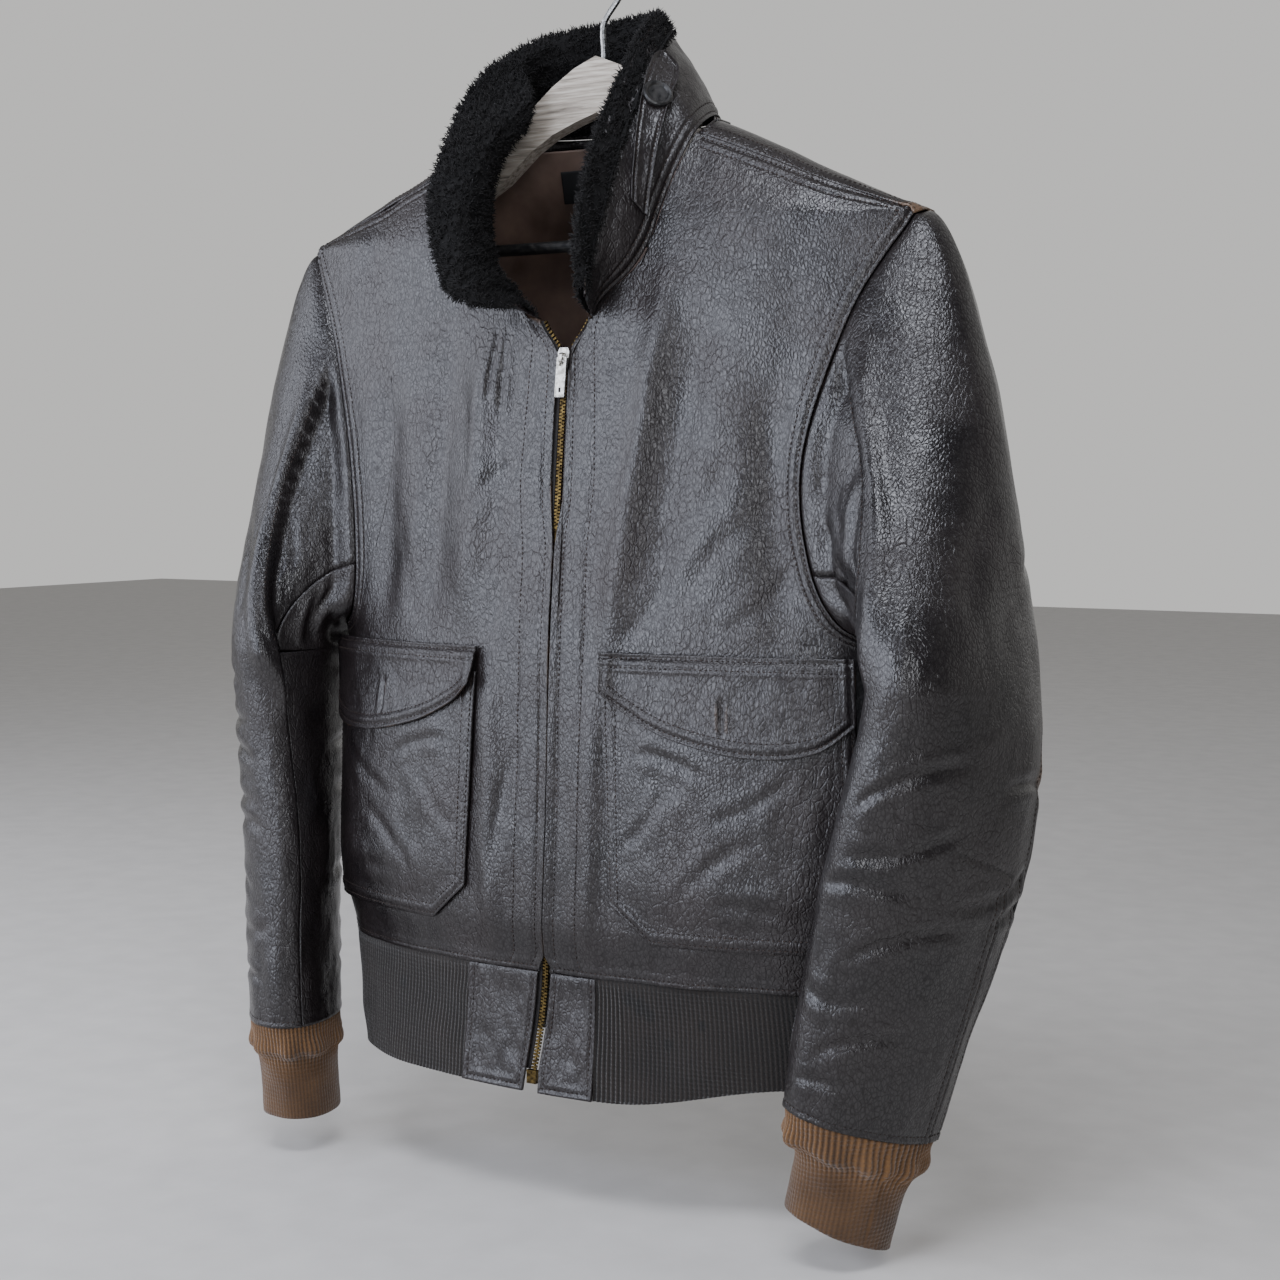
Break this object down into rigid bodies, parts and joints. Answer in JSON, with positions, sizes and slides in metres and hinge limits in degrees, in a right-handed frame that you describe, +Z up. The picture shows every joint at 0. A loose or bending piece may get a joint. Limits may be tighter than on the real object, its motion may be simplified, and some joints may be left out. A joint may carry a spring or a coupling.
{
  "type": "worn leather flight jacket on a wooden hanger",
  "caption": "Worn dark brown leather flight jacket with a fur collar, rib-knit cuffs and hem, flapped patch pockets and a front zip, hanging on a flat wooden hanger with a wire hook.",
  "frame": {"origin": "inside of the top of the hanger's hook, where it bears on a rail", "axes": "+X towards the wearer's left, -Y out of the front, +Z up"},
  "size_m": [0.587, 0.1941, 0.7968],
  "materials": {
    "leather": "worn glossy finish over dark brown grain",
    "cuff_knit": "faded wool rib",
    "hem_knit": "dark wool rib",
    "fur": "short curly pile",
    "lining": "plain brown lining",
    "label": "plain dark label",
    "zip_tape": "dark cotton tape",
    "zip_brass": "aged brass",
    "zip_nickel": "worn nickel",
    "button": "dark rimmed button",
    "wood": "weathered grey wood",
    "hook_wire": "bright steel wire",
    "bar": "black"
  },
  "bodies": {
    "jacket": {"front_left": "leather", "front_right": "leather", "back": "leather", "sleeve_left_top": "leather", "sleeve_left_under": "leather", "gusset_left": "leather", "sleeve_right_top": "leather", "sleeve_right_under": "leather", "gusset_right": "leather", "collar_leather": "leather", "throat_tab": "leather", "pocket_left": "leather", "pocket_right": "leather", "flap_left": "leather", "flap_right": "leather", "waistband_left": "leather", "waistband_right": "leather", "cuff_left": "cuff_knit", "cuff_right": "cuff_knit", "hem_rib": "hem_knit", "collar_fur": "fur", "lining": "lining", "neck_label": "label", "zip_tape_left": "zip_tape", "zip_tape_right": "zip_tape", "zip_track_left": "zip_brass", "zip_track_right": "zip_brass", "zip_chain": "zip_brass", "zip_box": "zip_brass", "zip_slider": "zip_nickel", "throat_button": "button", "hanger_wood": "wood", "hanger_hook": "hook_wire", "hanger_bar": "bar"},
    "pull_tab": {"zip_pull": "zip_nickel"}
  },
  "joints": [
    {"name": "pull_swing", "type": "hinge", "parent": "jacket", "child": "pull_tab", "pos_m": [0.007, -0.05907, -0.26059], "axis": [-1, 0, 0], "range_deg": [0, 150]}
  ]
}
